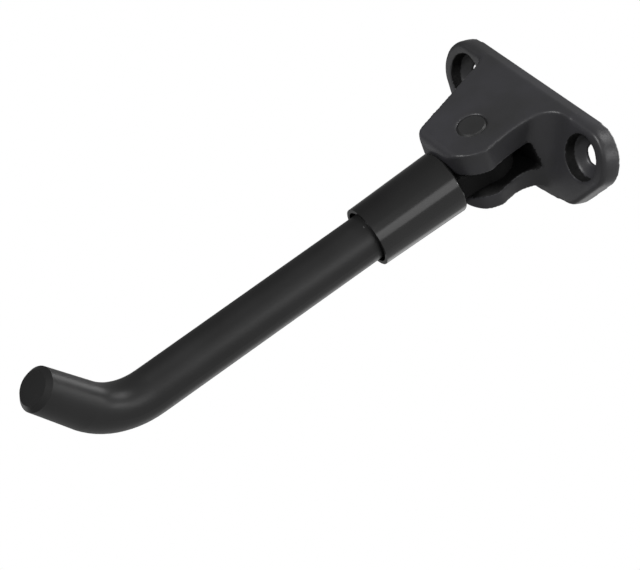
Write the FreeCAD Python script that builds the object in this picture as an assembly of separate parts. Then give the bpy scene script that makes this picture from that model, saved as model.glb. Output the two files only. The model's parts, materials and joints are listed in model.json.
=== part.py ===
"""Side kickstand for an electric scooter: a cast bracket that bolts under the deck's edge,
and a bent round leg that swings on a pin between the bracket's two ears.

Millimetres. The mounting face is z = 0 with the deck above it, the bolt line runs along X,
and the origin is on the mounting face, halfway between the two bolts.
"""
import FreeCAD, Part
import math
import os

Vector = FreeCAD.Vector

# Bolts and mounting plate
bolt_spacing = 51.0
bolt_hole_d = 5.5
bolt_land = 0.6           # straight part of the bolt hole, at the back
counterbore_d = 12.3
counterbore_depth = 3.0   # down to the conical seat
plate_thickness = 5.2
lug_reach = 9.9           # bolt centre to the end of the lug
plate_above_bolts = 9.2   # bolt line to the plate's upper edge
plate_below_bolts = 16.3  # bolt line to the lower edge, under the rear ear
lug_end_below = 3.0       # bolt line to where the lug's end starts to slope in
lug_foot_below = 14.8     # bolt line to the lug's lower corner
lug_foot_reach = 0.6      # that corner, inwards of the bolt centre
lug_upper_radius = 9.2
lug_end_radius = 7.0
lug_foot_radius = 5.0
plate_edge_round = 0.6

# Pivot, seen from the plate
leg_lean = 26.0           # degrees between the leg and the plate's normal
pivot_drop = 11.3         # plate's front face to the pivot
pivot_offset = 9.5        # bolt line to the pivot, along +Y

# Ears, measured from the pivot along the leg and across it
slot_width = 7.6
slot_depth = 9.6          # pivot to the floor of the slot
front_ear_thickness = 7.3
rear_ear_thickness = 4.9
ear_end = 11.6            # pivot to the ears' ends, round about the pin on the folding side
ear_stop_side = 13.6      # half width beside the pivot, on the side that stops the leg
ear_flare = 0.31          # growth of that half width towards the plate
ear_waist = 10.1          # half width at the narrowest place of the folding side
waist_radius = 45.0
waist_back = 5.8          # pivot to the waist, towards the plate
stop_corner_round = 3.2
fold_corner_round = 3.0   # where the round end meets the hollow
front_end_round = 3.0     # outer edge of each ear's end
rear_end_round = 4.8
stop_root_round = 2.6
fold_root_round = 6.8

# Pivot pin
pin_d = 8.0
pin_chamfer = 0.5
pin_seat_gap = 0.02       # radial, pin in the ears
pin_running_gap = 0.06    # radial, leg on the pin

# Leg, measured from the pivot along the leg
rod_d = 13.0
bend_corner = 118.9       # pivot to the corner of the two straight axes
bend_radius = 20.0
bend_angle = 58.0
foot_d = 12.0             # the bar draws down a little towards its end
foot_length = 28.1        # corner to the end of the foot
foot_chamfer = 1.3
neck_d = 10.4
neck_end = 34.0           # pivot to the shoulder where the full rod begins
tongue_thickness = 7.0
eye_radius = 7.6
shoulder_width = 11.8
heel_gap = 0.3            # stop heel to the floor of the slot

# Sleeve and its spring
sleeve_gap = 0.3          # sleeve's end to the ears' ends
sleeve_end = 38.2         # pivot to the open end of the sleeve
sleeve_top_d = 18.0
sleeve_end_d = 17.0
sleeve_wall = 1.0
sleeve_lip = 1.2
lip_gap = 0.25            # radial, lip on the neck
sleeve_top_round = 0.8
wire_d = 1.6
wire_sides = 8            # the hidden wire is kept light
spring_gap = 0.25         # radial, spring on the neck
spring_seat_gap = 0.05
closed_gap = 0.1          # between the closed turns at each end
closed_half_turns = 2     # at each end
open_half_turns = 6

# Places that follow from the sizes above
lean = math.radians(leg_lean)
front_face = slot_width / 2 + front_ear_thickness
rear_face = -slot_width / 2 - rear_ear_thickness
half_length = bolt_spacing / 2 + lug_reach
pivot = Vector(0, pivot_offset, -plate_thickness - pivot_drop)
to_leg_frame = FreeCAD.Placement(pivot, FreeCAD.Rotation(Vector(1, 0, 0), 180 + leg_lean))
sleeve_start = ear_end + sleeve_gap
flats_end = ear_end + heel_gap
big = 4 * half_length     # longer than anything that is cut
tiny = 1e-4


def plate_face_at(across):
    """Distance from the pivot, along the leg, to the plate's front face."""
    return -(pivot_drop + across * math.sin(lean)) / math.cos(lean)


def placed(shape):
    """Move a solid from the leg's frame (x along the bolts, y along the pin, z down the leg)."""
    shape.Placement = to_leg_frame.multiply(shape.Placement)
    return shape


def cylinder(radius, start, end, direction=Vector(0, 0, 1)):
    return Part.makeCylinder(radius, end - start, direction * start, direction)


def extruded(edges, direction):
    return Part.Face(Part.Wire(edges)).extrude(direction)


def line(a, b):
    return Part.LineSegment(a, b).toShape()


def arc(a, middle, b):
    return Part.Arc(a, middle, b).toShape()


def around(angle, radius):
    """Point at an angle round the pin, seen along it."""
    return Vector(math.cos(angle), 0, math.sin(angle)) * radius


def revolved(points):
    """Turn a closed outline of (radius, distance) points about the leg's axis."""
    outline = Part.makePolygon([Vector(r, 0, z) for r, z in points + points[:1]])
    return Part.Face(outline).revolve(Vector(0, 0, 0), Vector(0, 0, 1), 360)


def level_edges(shape, height):
    """Edges that lie flat at one height."""
    return [
        edge for edge in shape.Edges
        if abs(edge.BoundBox.ZMin - height) < tiny and abs(edge.BoundBox.ZMax - height) < tiny
    ]


def make_plate():
    """Flat plate with a rounded lug at each end."""
    corners = [
        (half_length, -plate_above_bolts, lug_upper_radius),
        (half_length, lug_end_below, lug_end_radius),
        (bolt_spacing / 2 - lug_foot_reach, lug_foot_below, lug_foot_radius),
    ]
    right = [Vector(x, y, 0) for x, y, radius in corners]
    left = [Vector(-x, y, 0) for x, y, radius in reversed(corners)]
    under_ears = [Vector(ear_waist, plate_below_bolts, 0), Vector(-ear_waist, plate_below_bolts, 0)]
    outline = Part.makePolygon(right + under_ears + left + right[:1])
    plate = Part.Face(outline).extrude(Vector(0, 0, -plate_thickness))
    for x, y, radius in corners:
        upright = [
            edge for edge in plate.Edges
            if abs(edge.CenterOfMass.z + plate_thickness / 2) < tiny
            and abs(abs(edge.CenterOfMass.x) - x) < tiny
            and abs(edge.CenterOfMass.y - y) < tiny
        ]
        plate = plate.makeFillet(radius, upright)
    return plate


def stop_side(z):
    """Point of the ears' outline on the side that stops the leg."""
    return Vector(ear_flare * z - ear_stop_side, 0, z)


def fold_side(z):
    """Point of the ears' outline on the side that the leg folds to, a hollow arc."""
    return Vector(ear_waist + waist_radius - math.sqrt(waist_radius ** 2 - (z + waist_back) ** 2), 0, z)


def fold_corner():
    """Where the hollow meets the round end, which the sleeve passes as the leg swings."""
    hollow = Vector(ear_waist + waist_radius, 0, -waist_back)
    along = (ear_end ** 2 - waist_radius ** 2 + hollow.Length ** 2) / (2 * hollow.Length)
    return around(math.acos(along / ear_end) + math.atan2(hollow.z, hollow.x), ear_end)


def ear_outline():
    """Ears seen along the pin: flared on the stop side, hollowed on the folding side."""
    root = plate_face_at(front_face) - plate_thickness
    end = Vector(0, 0, ear_end)
    middle = (end + fold_corner()).normalize() * ear_end
    return [
        line(stop_side(ear_end), end),
        arc(end, middle, fold_corner()),
        arc(fold_corner(), fold_side(-waist_back), fold_side(root)),
        line(fold_side(root), stop_side(root)),
        line(stop_side(root), stop_side(ear_end)),
    ]


def make_ears():
    """The pair of ears as one block in the leg's frame, before the slot is cut."""
    front = extruded(ear_outline(), Vector(0, big, 0))
    front.translate(Vector(0, -big / 2, 0))
    for corner, radius in ((stop_side(ear_end), stop_corner_round), (fold_corner(), fold_corner_round)):
        across = [edge for edge in front.Edges if (edge.CenterOfMass - corner).Length < tiny]
        front = front.makeFillet(radius, across)
    root = plate_face_at(front_face) - plate_thickness
    side = Part.makeBox(big, front_face - rear_face, ear_end - root, Vector(-big / 2, rear_face, root))
    for face, radius in ((front_face, front_end_round), (rear_face, rear_end_round)):
        outer = [edge for edge in level_edges(side, ear_end) if abs(edge.CenterOfMass.y - face) < tiny]
        side = side.makeFillet(radius, outer)
    return front.common(side)


def rim_round():
    """Round of the plate's rim, inside the bevel that the ears' front face cuts along its upper edge."""
    bevel = plate_above_bolts + pivot_offset - (front_face + pivot_drop * math.sin(lean)) / math.cos(lean)
    return min(plate_edge_round, 0.75 * bevel) if bevel > 0 else plate_edge_round


def make_casting():
    """Plate and ears in one piece, with the ears' flanks rounded into the plate."""
    slab = Part.makeBox(big, big, plate_thickness, Vector(-big / 2, -big / 2, -plate_thickness))
    under_slab = Part.makeBox(big, big, big, Vector(-big / 2, -big / 2, -big - plate_thickness / 2))
    casting = slab.fuse(placed(make_ears()).common(under_slab)).removeSplitter()
    for side, radius in ((-1, stop_root_round), (1, fold_root_round)):
        flank_root = [
            edge for edge in level_edges(casting, -plate_thickness)
            if slot_width < edge.BoundBox.YLength < big / 2 and side * edge.CenterOfMass.x > 0
        ]
        casting = casting.makeFillet(radius, flank_root)
    plate = make_plate()
    front = min(plate.Faces, key=lambda face: face.CenterOfMass.z)
    hanging = front.extrude(to_leg_frame.Rotation.multVec(Vector(0, 0, big)))
    casting = casting.common(plate.fuse(hanging))
    proud = Part.makeBox(big, big, big, Vector(-big / 2, front_face, -big / 2))
    casting = casting.cut(placed(proud)).removeSplitter()
    rim = [
        edge for edge in level_edges(casting, -plate_thickness)
        if front.OuterWire.distToShape(Part.Vertex(edge.valueAt(edge.FirstParameter)))[0] < tiny
        and front.OuterWire.distToShape(Part.Vertex(edge.valueAt(edge.LastParameter)))[0] < tiny
    ]
    return casting.makeFillet(rim_round(), rim)


def make_bracket():
    """The casting with its slot, pin seat and bolt holes."""
    slot = Part.makeBox(big, slot_width, big, Vector(-big / 2, -slot_width / 2, -slot_depth))
    pin_seat = cylinder(pin_d / 2 + pin_seat_gap, 2 * rear_face, 2 * front_face, Vector(0, 1, 0))
    bracket = make_casting().cut([placed(slot), placed(pin_seat)])
    for x in (-bolt_spacing / 2, bolt_spacing / 2):
        under = Vector(x, 0, -1.5 * plate_thickness)
        through = Part.makeCylinder(bolt_hole_d / 2, 2 * plate_thickness, under)
        land = Vector(x, 0, -bolt_land)
        seat_depth = plate_thickness - counterbore_depth - bolt_land
        seat = Part.makeCone(bolt_hole_d / 2, counterbore_d / 2, seat_depth, land, Vector(0, 0, -1))
        seat_edge = Vector(x, 0, counterbore_depth - plate_thickness)
        head = Part.makeCylinder(counterbore_d / 2, pivot_drop, seat_edge, Vector(0, 0, -1))
        bracket = bracket.cut([through, seat, head])
    return bracket


def make_pin():
    """Turned pin, flush with both ears, with a chamfer that shows as a fine ring."""
    pin = cylinder(pin_d / 2, rear_face, front_face, Vector(0, 1, 0))
    rims = [edge for edge in pin.Edges if edge.isClosed()]
    return placed(pin.makeChamfer(pin_chamfer, rims))


def make_tongue():
    """Forged flat eye: round where it turns past the slot's floor, with a heel that stops the leg."""
    heel = heel_gap - slot_depth
    half = shoulder_width / 2
    shoulder = sleeve_start - sleeve_gap
    tangent = math.acos(eye_radius / math.hypot(half, shoulder)) - math.atan2(half, shoulder)
    touch = around(tangent, eye_radius)
    low = Vector(0, 0, -eye_radius)
    outline = [
        line(Vector(half, 0, shoulder), touch),
        arc(touch, around((tangent - math.pi / 2) / 2, eye_radius), low),
        line(low, Vector(0, 0, heel)),
        line(Vector(0, 0, heel), Vector(-eye_radius, 0, heel)),
        line(Vector(-eye_radius, 0, heel), Vector(-eye_radius, 0, touch.z)),
        line(Vector(-eye_radius, 0, touch.z), Vector(-half, 0, shoulder)),
        line(Vector(-half, 0, shoulder), Vector(half, 0, shoulder)),
    ]
    tongue = extruded(outline, Vector(0, tongue_thickness, 0))
    tongue.translate(Vector(0, -tongue_thickness / 2, 0))
    stem = cylinder(neck_d / 2, 0, flats_end)
    flats = Part.makeBox(big, tongue_thickness, big, Vector(-big / 2, -tongue_thickness / 2, -big / 2))
    return tongue.fuse(stem.common(flats))


def make_leg():
    """Round bar, turned down to a neck, forged flat at the top and bent outwards at the foot."""
    angle = math.radians(bend_angle)
    trim = bend_radius * math.tan(angle / 2)
    bend_start = bend_corner - trim
    radius = rod_d / 2
    neck = cylinder(neck_d / 2, flats_end, neck_end)
    straight = cylinder(radius, neck_end, bend_start)
    section = Part.Face(Part.Wire(Part.makeCircle(radius, Vector(0, 0, bend_start), Vector(0, 0, 1))))
    bend = section.revolve(Vector(0, bend_radius, bend_start), Vector(-1, 0, 0), bend_angle)
    foot_axis = Vector(0, math.sin(angle), math.cos(angle))
    foot_start = Vector(0, 0, bend_corner) + foot_axis * trim
    foot = Part.makeCone(radius, foot_d / 2, foot_length - trim, foot_start, foot_axis)
    end = Vector(0, 0, bend_corner) + foot_axis * foot_length
    rim = [edge for edge in foot.Edges if (edge.CenterOfMass - end).Length < tiny]
    foot = foot.makeChamfer(foot_chamfer, rim)
    leg = make_tongue().fuse([neck, straight, bend, foot]).removeSplitter()
    bore = cylinder(pin_d / 2 + pin_running_gap, -tongue_thickness, tongue_thickness, Vector(0, 1, 0))
    return placed(leg.cut(bore))


def make_sleeve():
    """Drawn steel sleeve: a slightly tapered tube whose lip slides on the leg's neck."""
    top = sleeve_top_d / 2
    end = sleeve_end_d / 2
    lip = neck_d / 2 + lip_gap
    under_lip = sleeve_start + sleeve_lip
    slope = (end - top) / (sleeve_end - sleeve_start)
    inner_top = top + slope * sleeve_lip - sleeve_wall
    sleeve = revolved([
        (lip, sleeve_start), (top, sleeve_start), (end, sleeve_end),
        (end - sleeve_wall, sleeve_end), (inner_top, under_lip), (lip, under_lip),
    ])
    rims = [edge for edge in level_edges(sleeve, sleeve_start) if edge.isClosed()]
    outer_rim = max(rims, key=lambda edge: edge.Length)
    return placed(sleeve.makeFillet(sleeve_top_round, [outer_rim]))


def make_spring():
    """Compression spring round the neck: half turns end to end, with closed turns at both ends."""
    coil = neck_d / 2 + spring_gap + wire_d / 2
    height = sleeve_start + sleeve_lip + spring_seat_gap + wire_d / 2
    length = neck_end - spring_seat_gap - wire_d / 2 - height
    closed_rise = (wire_d + closed_gap) / 2
    open_rise = (length - 2 * closed_half_turns * closed_rise) / open_half_turns
    closed = [closed_rise] * closed_half_turns
    turn = 2 * math.pi / wire_sides
    half_turns = []
    side = 1
    for rise in closed + [open_rise] * open_half_turns + closed:
        start = Vector(side * coil, 0, height)
        middle = Vector(0, 0, height + rise / 2)
        corners = [start + around(corner * turn, wire_d / 2) for corner in range(wire_sides + 1)]
        section = Part.Face(Part.makePolygon(corners))
        half_turns.append(section.revolve(middle, Vector(side * rise / 2, 0, coil), 180))
        height += rise
        side = -side
    return placed(half_turns[0].fuse(half_turns[1:]).removeSplitter())


os.makedirs("parts", exist_ok=True)
make_bracket().exportStep("parts/bracket.step")
make_pin().exportStep("parts/pivot_pin.step")
make_leg().exportStep("parts/leg.step")
make_sleeve().exportStep("parts/sleeve.step")
make_spring().exportStep("parts/sleeve_spring.step")
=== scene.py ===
"""Looks of the electric scooter kickstand: its coats, and the floor, lamps and camera around it."""
import json
from math import hypot, pi, radians

import bmesh
import bpy
from mathutils import Matrix, Vector


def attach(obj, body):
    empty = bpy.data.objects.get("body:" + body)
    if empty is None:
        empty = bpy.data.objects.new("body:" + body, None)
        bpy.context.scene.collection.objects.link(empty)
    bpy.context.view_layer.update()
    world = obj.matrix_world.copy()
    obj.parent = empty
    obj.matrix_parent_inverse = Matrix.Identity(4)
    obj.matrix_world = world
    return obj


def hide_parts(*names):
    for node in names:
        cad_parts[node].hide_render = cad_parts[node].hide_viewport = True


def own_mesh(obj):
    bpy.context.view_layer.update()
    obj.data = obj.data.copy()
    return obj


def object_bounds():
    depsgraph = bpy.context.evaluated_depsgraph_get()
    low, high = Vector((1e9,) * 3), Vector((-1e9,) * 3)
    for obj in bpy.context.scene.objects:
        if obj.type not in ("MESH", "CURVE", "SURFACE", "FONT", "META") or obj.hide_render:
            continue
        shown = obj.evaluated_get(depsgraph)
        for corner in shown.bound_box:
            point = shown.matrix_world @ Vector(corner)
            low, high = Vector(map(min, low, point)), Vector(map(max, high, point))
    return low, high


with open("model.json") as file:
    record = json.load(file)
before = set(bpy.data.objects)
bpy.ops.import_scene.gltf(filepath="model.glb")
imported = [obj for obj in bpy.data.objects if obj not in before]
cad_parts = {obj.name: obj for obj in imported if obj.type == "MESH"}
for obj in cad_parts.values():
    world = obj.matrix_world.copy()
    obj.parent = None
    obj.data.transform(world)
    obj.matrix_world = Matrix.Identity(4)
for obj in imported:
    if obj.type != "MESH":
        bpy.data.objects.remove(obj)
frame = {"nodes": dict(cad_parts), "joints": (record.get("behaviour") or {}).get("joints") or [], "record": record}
cad = frame["nodes"]
cad_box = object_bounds()
joints = {joint["name"]: joint for joint in frame["joints"]}
mounts = {mount["name"]: mount for mount in frame["record"]["mounts"]}


# Bracket
# A die casting in light alloy with soft edges everywhere, powder coated satin black. The walls of the
# counterbores and of the slot between the ears get a near-black, dull coat as painted shade.
# Two screws through its lugs hold it to the deck, and the leg swings between its ears.
pivot = Vector(joints["leg_swing"]["pos_m"])
along_pin = Vector(joints["leg_swing"]["axis"])
bolt_spacing = mounts["bolts"]["dims"]["spacing_x_mm"] / 1000
counterbore_radius = 0.00615
counterbore_floor = -0.0022   # height of the seats, below the mounting face
slot_half = 0.0038            # half the gap between the ears
slot_reach = 0.0125           # from the middle of the slot towards its open sides
recess_turn = 0.6             # the walls of a recess face out of it by less than this

casting_grain = 0.0004        # faces of the even mesh
casting_softening = 4         # rounds of smoothing all over
rim_softening = 24            # further rounds on the lugs' rims
softening_step = 0.5
rim_margin = 4 * casting_grain   # kept crisp round each counterbore

cast_black = (0.026, 0.0257, 0.029)
recess_painted_shade = (0.008, 0.008, 0.008)
patch_scale, patch_detail = 55, 6
patch_edges = (0.3, 0.7)
patch_darkest, patch_palest = 0.8, 1.2
patch_gloss = 0.05
grain_detail = 3


def placed(name, data):
    """New object in the scene."""
    thing = bpy.data.objects.new(name, data)
    bpy.context.scene.collection.objects.link(thing)
    return thing


def mottle(tree, scale, detail):
    """Cloudy pattern fixed to the surface, from 0 to 1."""
    place = tree.nodes.new("ShaderNodeTexCoord").outputs["Object"]
    clouds = tree.nodes.new("ShaderNodeTexNoise")
    clouds.inputs["Scale"].default_value = scale
    clouds.inputs["Detail"].default_value = detail
    tree.links.new(place, clouds.inputs["Vector"])
    return clouds.outputs["Fac"]


def graded(tree, value, reads, gives):
    """Node that turns the range that a value reads into the range that it gives."""
    grade = tree.nodes.new("ShaderNodeMapRange")
    for end, number in zip(("From Min", "From Max", "To Min", "To Max"), reads + gives):
        grade.inputs[end].default_value = number
    tree.links.new(value, grade.inputs["Value"])
    return grade


def coated(name, colour, roughness, specular, grain_size, grain_depth):
    """Coat over metal: patches of slightly other shade and gloss, and a fine grain."""
    material = bpy.data.materials.new(name)
    material.use_nodes = True
    tree = material.node_tree
    surface = tree.nodes["Principled BSDF"]
    surface.inputs["Specular IOR Level"].default_value = specular
    patches = mottle(tree, patch_scale, patch_detail)

    shade = tree.nodes.new("ShaderNodeValToRGB")
    dark, pale = shade.color_ramp.elements
    dark.color = [patch_darkest * min(colour)] * 3 + [1]
    pale.color = [patch_palest * value for value in colour] + [1]
    dark.position, pale.position = patch_edges
    tree.links.new(patches, shade.inputs["Fac"])
    tree.links.new(shade.outputs["Color"], surface.inputs["Base Color"])

    gloss = graded(tree, patches, (0, 1), (roughness - patch_gloss, roughness + patch_gloss))
    tree.links.new(gloss.outputs["Result"], surface.inputs["Roughness"])

    bumps = tree.nodes.new("ShaderNodeBump")
    bumps.inputs["Strength"].default_value = 1
    bumps.inputs["Distance"].default_value = grain_depth
    tree.links.new(mottle(tree, 1 / grain_size, grain_detail), bumps.inputs["Height"])
    tree.links.new(bumps.outputs["Normal"], surface.inputs["Normal"])
    return material


def from_bolt(point):
    """Distance from the nearer bolt's axis."""
    return hypot(abs(point.x) - bolt_spacing / 2, point.y)


def on_lug_rim(point):
    """Whether a point is on the front part of a lug, outside its counterbore."""
    return (abs(point.x) > bolt_spacing / 2 - counterbore_radius and point.z < counterbore_floor
            and from_bolt(point) > counterbore_radius + rim_margin)


def in_recess(face):
    """Whether a face is a wall of a counterbore or of the slot between the ears."""
    middle = face.calc_center_median()
    in_counterbore = (from_bolt(middle) < counterbore_radius + casting_grain
                      and abs(face.normal.z) < recess_turn)
    in_slot = (abs((middle - pivot).dot(along_pin)) < slot_half + casting_grain
               and abs(middle.x) < slot_reach and middle.z < counterbore_floor
               and abs(face.normal.x) < recess_turn)
    return in_counterbore or in_slot


casting_mesh = cad["bracket"].data.copy()
casting_mesh.materials.clear()
casting = placed("casting", casting_mesh)
remesh = casting.modifiers.new("even mesh", "REMESH")
remesh.mode = "VOXEL"
remesh.voxel_size = casting_grain
block = bmesh.new()
block.from_object(casting, bpy.context.evaluated_depsgraph_get())
casting.modifiers.clear()
lug_rims = [vert for vert in block.verts if on_lug_rim(vert.co)]
for verts, rounds in ((block.verts[:], casting_softening), (lug_rims, rim_softening)):
    for step in range(rounds):
        bmesh.ops.smooth_vert(block, verts=verts, factor=softening_step,
                              use_axis_x=True, use_axis_y=True, use_axis_z=True)
# Walls of the counterbores and of the slot take the second material, which is painted shade.
for face in block.faces:
    face.smooth = True
    face.material_index = int(in_recess(face))
block.to_mesh(casting_mesh)
block.free()
casting_mesh.materials.append(coated("cast coat", cast_black, roughness=0.4, specular=0.3,
                                     grain_size=0.0005, grain_depth=0.00002))
# Painted shade: a near-black, dull coat on the recess walls, where the stand lies in shadow.
casting_mesh.materials.append(coated("painted recess shade", recess_painted_shade, roughness=0.6, specular=0.1,
                                     grain_size=0.0005, grain_depth=0.00002))
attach(casting, "bracket")
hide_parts("bracket")


# Pivot pin
# A turned steel pin pressed through both ears, flush with their faces and coated with them.
# Only its end faces and the fine rings of their chamfers show.
pin_black = (0.02, 0.02, 0.0205)

cad["pivot_pin"].material_slots[0].material = coated(
    "pin coat", pin_black, roughness=0.4, specular=0.28, grain_size=0.0005, grain_depth=0.00002)


# Leg
# One round steel bar, bent outwards at the foot and tapered towards its bevelled end.
# It is powder coated satin black after forming. On its flat eye between the ears, near the pin, the colour is
# darkened as painted shade and the coat is dull.
bar_black = (0.0115, 0.0115, 0.0116)
eye_reach, eye_fade = 0.013, 0.003
eye_painted_shade, eye_roughness = 0.2, 0.95


def measured(tree, operation, coordinates, fixed):
    """Distance from a fixed spot, or reach along a fixed way."""
    measure = tree.nodes.new("ShaderNodeVectorMath")
    measure.operation = operation
    measure.inputs[1].default_value = fixed
    tree.links.new(tree.nodes.new("ShaderNodeTexCoord").outputs[coordinates], measure.inputs[0])
    return measure.outputs["Value"]


def combined(tree, operation, first, second):
    """One value made from two."""
    rule = tree.nodes.new("ShaderNodeMath")
    rule.operation = operation
    tree.links.new(first, rule.inputs[0])
    tree.links.new(second, rule.inputs[1])
    return rule.outputs["Value"]


bar_coat = coated("bar coat", bar_black, roughness=0.36, specular=0.24, grain_size=0.0007,
                  grain_depth=0.00001)
cad["leg"].material_slots[0].material = bar_coat
tree = bar_coat.node_tree
surface = tree.nodes["Principled BSDF"]
coat_shade = surface.inputs["Base Color"].links[0].from_socket
coat_roughness = surface.inputs["Roughness"].links[0].from_socket
# Painted shade: within eye_reach of the pin the coat's colour is scaled down, and its roughness is raised.
from_pin = measured(tree, "DISTANCE", "Object", pivot)
eye_edge = (eye_reach, eye_reach + eye_fade)
painted_eye_shade = graded(tree, from_pin, eye_edge, (eye_painted_shade, 1))
dull = graded(tree, from_pin, eye_edge, (eye_roughness, 0))
eye_colour_with_painted_shade = tree.nodes.new("ShaderNodeVectorMath")
eye_colour_with_painted_shade.operation = "SCALE"
tree.links.new(coat_shade, eye_colour_with_painted_shade.inputs[0])
tree.links.new(painted_eye_shade.outputs["Result"], eye_colour_with_painted_shade.inputs["Scale"])
tree.links.new(eye_colour_with_painted_shade.outputs["Vector"], surface.inputs["Base Color"])
tree.links.new(combined(tree, "MAXIMUM", coat_roughness, dull.outputs["Result"]),
               surface.inputs["Roughness"])


# Sleeve
# A short drawn steel tube with an inward lip, glossier than the casting above it.
# It slides on the leg's neck, and its end bears on the ears.
sleeve_black = (0.009, 0.009, 0.009)

cad["sleeve"].material_slots[0].material = coated(
    "sleeve coat", sleeve_black, roughness=0.16, specular=0.3, grain_size=0.002, grain_depth=0.000005)


# Sleeve spring
# Bare spring wire wound round the leg's neck, hidden by the sleeve. It stands on the neck's shoulder,
# pushes the sleeve up against the ears and shortens as the sleeve slides.
wire_grey = (0.3, 0.3, 0.31)

wire = coated("spring wire", wire_grey, roughness=0.35, specular=0.5, grain_size=0.0005,
              grain_depth=0.000005)
wire.node_tree.nodes["Principled BSDF"].inputs["Metallic"].default_value = 1
spring_mesh = cad["sleeve_spring"].data.copy()
spring_mesh.shade_smooth()
spring_mesh.materials.clear()
spring_mesh.materials.append(wire)
spring = placed("wound_spring", spring_mesh)
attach(spring, "leg")
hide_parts("sleeve_spring")
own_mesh(spring)


# Camera
# A long lens from below and in front of the stand. It is rolled so that the bracket comes to the
# upper right of the picture and the foot to the lower left, as in the photo.
target = Vector((-0.00718, 0.04256, -0.05905))
distance = 0.6832
azimuth, elevation, roll = radians(54.504), radians(-30.496), radians(76.125)

camera_data = bpy.data.cameras.new("camera")
camera_data.sensor_fit = "HORIZONTAL"
camera_data.sensor_width = 36
camera_data.lens = 146.4
camera_data.clip_start = 0.01
camera_data.clip_end = 50
turn = (Matrix.Rotation(azimuth, 3, "Z") @ Matrix.Rotation(pi / 2 - elevation, 3, "X")
        @ Matrix.Rotation(roll, 3, "Z"))
camera = placed("camera", camera_data)
camera.matrix_world = Matrix.Translation(target + turn @ Vector((0, 0, distance))) @ turn.to_4x4()
bpy.context.scene.camera = camera


# Floor
# A pale sheet under the foot that takes the stand's shadow and fades into the white room.
# It shows to the camera alone and only from above: the photo looks up from below the floor's level,
# and nothing pale near the stand throws light up at it there.
floor_half = 3.0
floor_gap = 0.0005
foot_spot = (0, 0.08)
floor_solid, floor_gone = 0.08, 0.4
floor_grey, floor_roughness = 0.85, 0.9
level = min(corner[2] for corner in cad_box) - floor_gap


def mixed(tree, share, first, second, output):
    """Give an output two shaders, of which the second has the share."""
    mix = tree.nodes.new("ShaderNodeMixShader")
    for source, socket in zip((share, first, second), mix.inputs):
        tree.links.new(source, socket)
    tree.links.new(mix.outputs["Shader"], tree.nodes[output].inputs["Surface"])


corners = [(x * floor_half, y * floor_half, level) for x, y in ((-1, -1), (1, -1), (1, 1), (-1, 1))]
floor_mesh = bpy.data.meshes.new("floor")
floor_mesh.from_pydata(corners, [], [(0, 1, 2, 3)])
floor = placed("floor", floor_mesh)
sheet = bpy.data.materials.new("pale floor")
sheet.use_nodes = True
tree = sheet.node_tree
surface = tree.nodes["Principled BSDF"]
surface.inputs["Base Color"].default_value = (floor_grey, floor_grey, floor_grey, 1)
surface.inputs["Roughness"].default_value = floor_roughness
clear = tree.nodes.new("ShaderNodeBsdfTransparent")
ray = tree.nodes.new("ShaderNodeLightPath").outputs
side = tree.nodes.new("ShaderNodeNewGeometry").outputs
from_above = combined(tree, "GREATER_THAN", ray["Is Camera Ray"], side["Backfacing"])
from_foot = measured(tree, "DISTANCE", "Object", foot_spot + (level,))
fade = graded(tree, from_foot, (floor_solid, floor_gone), (1, 0))
fade.interpolation_type = "SMOOTHSTEP"
share = combined(tree, "MULTIPLY", from_above, fade.outputs["Result"])
mixed(tree, share, clear.outputs["BSDF"], surface.outputs["BSDF"], "Material Output")
floor_mesh.materials.append(sheet)


# Room and lamps
# The room is white to the camera. To the stand it is bright on the picture's right and dim on the
# upper left, so that the black coats stay dark there. The key stands on the left, boxes on the right
# draw the highlights along the sleeve and the bar, and a panel and a rim lamp stand behind.
bright_side = (0.75, -0.35, 0.35)   # right, up and towards the camera
room_light = (0.05, 0.2)            # on the dim and on the bright side
room_gloss = (0.05, 1.0)            # the same in reflections
white = (1, 1, 1, 1)

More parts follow.
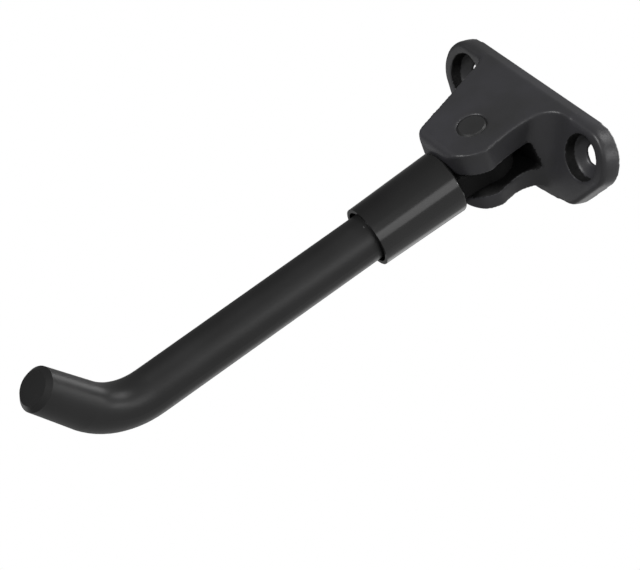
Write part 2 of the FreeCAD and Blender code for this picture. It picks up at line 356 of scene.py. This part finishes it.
room = bpy.data.worlds.new("white room")
bpy.context.scene.world = room
room.use_nodes = True
tree = room.node_tree
ray = tree.nodes.new("ShaderNodeLightPath").outputs
toward = measured(tree, "DOT_PRODUCT", "Generated", turn @ Vector(bright_side).normalized())
strength = graded(tree, toward, (-1, 1), room_light)
for end, light, shine in zip(("To Min", "To Max"), room_light, room_gloss):
    by_ray = graded(tree, ray["Is Glossy Ray"], (0, 1), (light, shine))
    tree.links.new(by_ray.outputs["Result"], strength.inputs[end])
glow = tree.nodes["Background"]
glow.inputs["Color"].default_value = white
tree.links.new(strength.outputs["Result"], glow.inputs["Strength"])
backdrop = tree.nodes.new("ShaderNodeBackground")
backdrop.inputs["Color"].default_value = white
seen = combined(tree, "MAXIMUM", ray["Is Camera Ray"], ray["Is Transmission Ray"])
mixed(tree, seen, glow.outputs["Background"], backdrop.outputs["Background"], "World Output")


def lamp(name, place, upright, size, power):
    """Soft lamp aimed at the stand. Its place and upright count right, up and towards the camera."""
    data = bpy.data.lights.new(name, "AREA")
    data.shape = "RECTANGLE"
    data.size, data.size_y = size
    data.energy = power
    from_stand = turn @ Vector(place)
    back = from_stand.normalized()
    across = (turn @ Vector(upright)).cross(back).normalized()
    aim = Matrix((across, back.cross(across), back)).transposed().to_4x4()
    placed(name, data).matrix_world = Matrix.Translation(target + from_stand) @ aim


lamp("key", (-0.58, 0.36, 0.58), upright=(0, 1, 0), size=(0.25, 0.25), power=7.0)
lamp("top", (0.25, 0.32, 0.12), upright=(1, 0, 0), size=(0.15, 0.15), power=0.55)
lamp("fill", (-0.6, -0.15, -0.34), upright=(0, 1, 0), size=(0.5, 0.5), power=0.65)
lamp("soft box", (0.413, 0.0325, 0.474), upright=(0.39, 0.71, -0.59), size=(0.3, 0.235), power=0.65)
lamp("bar box", (0.169, 0.122, 0.551), upright=(-0.801, -0.568, 0.237), size=(0.38, 0.12), power=0.19)
lamp("glint", (0.51, 0.08, 0.26), upright=(0, 1, 0), size=(0.08, 0.08), power=0.5)
lamp("panel", (0.53, 0.22, -0.31), upright=(-0.45, 0.55, -0.7), size=(0.35, 0.65), power=3.2)
lamp("rim", (0.27, -0.33, -0.56), upright=(0, 1, 0), size=(0.3, 0.3), power=0.25)
bpy.context.scene.view_settings.view_transform = "Standard"
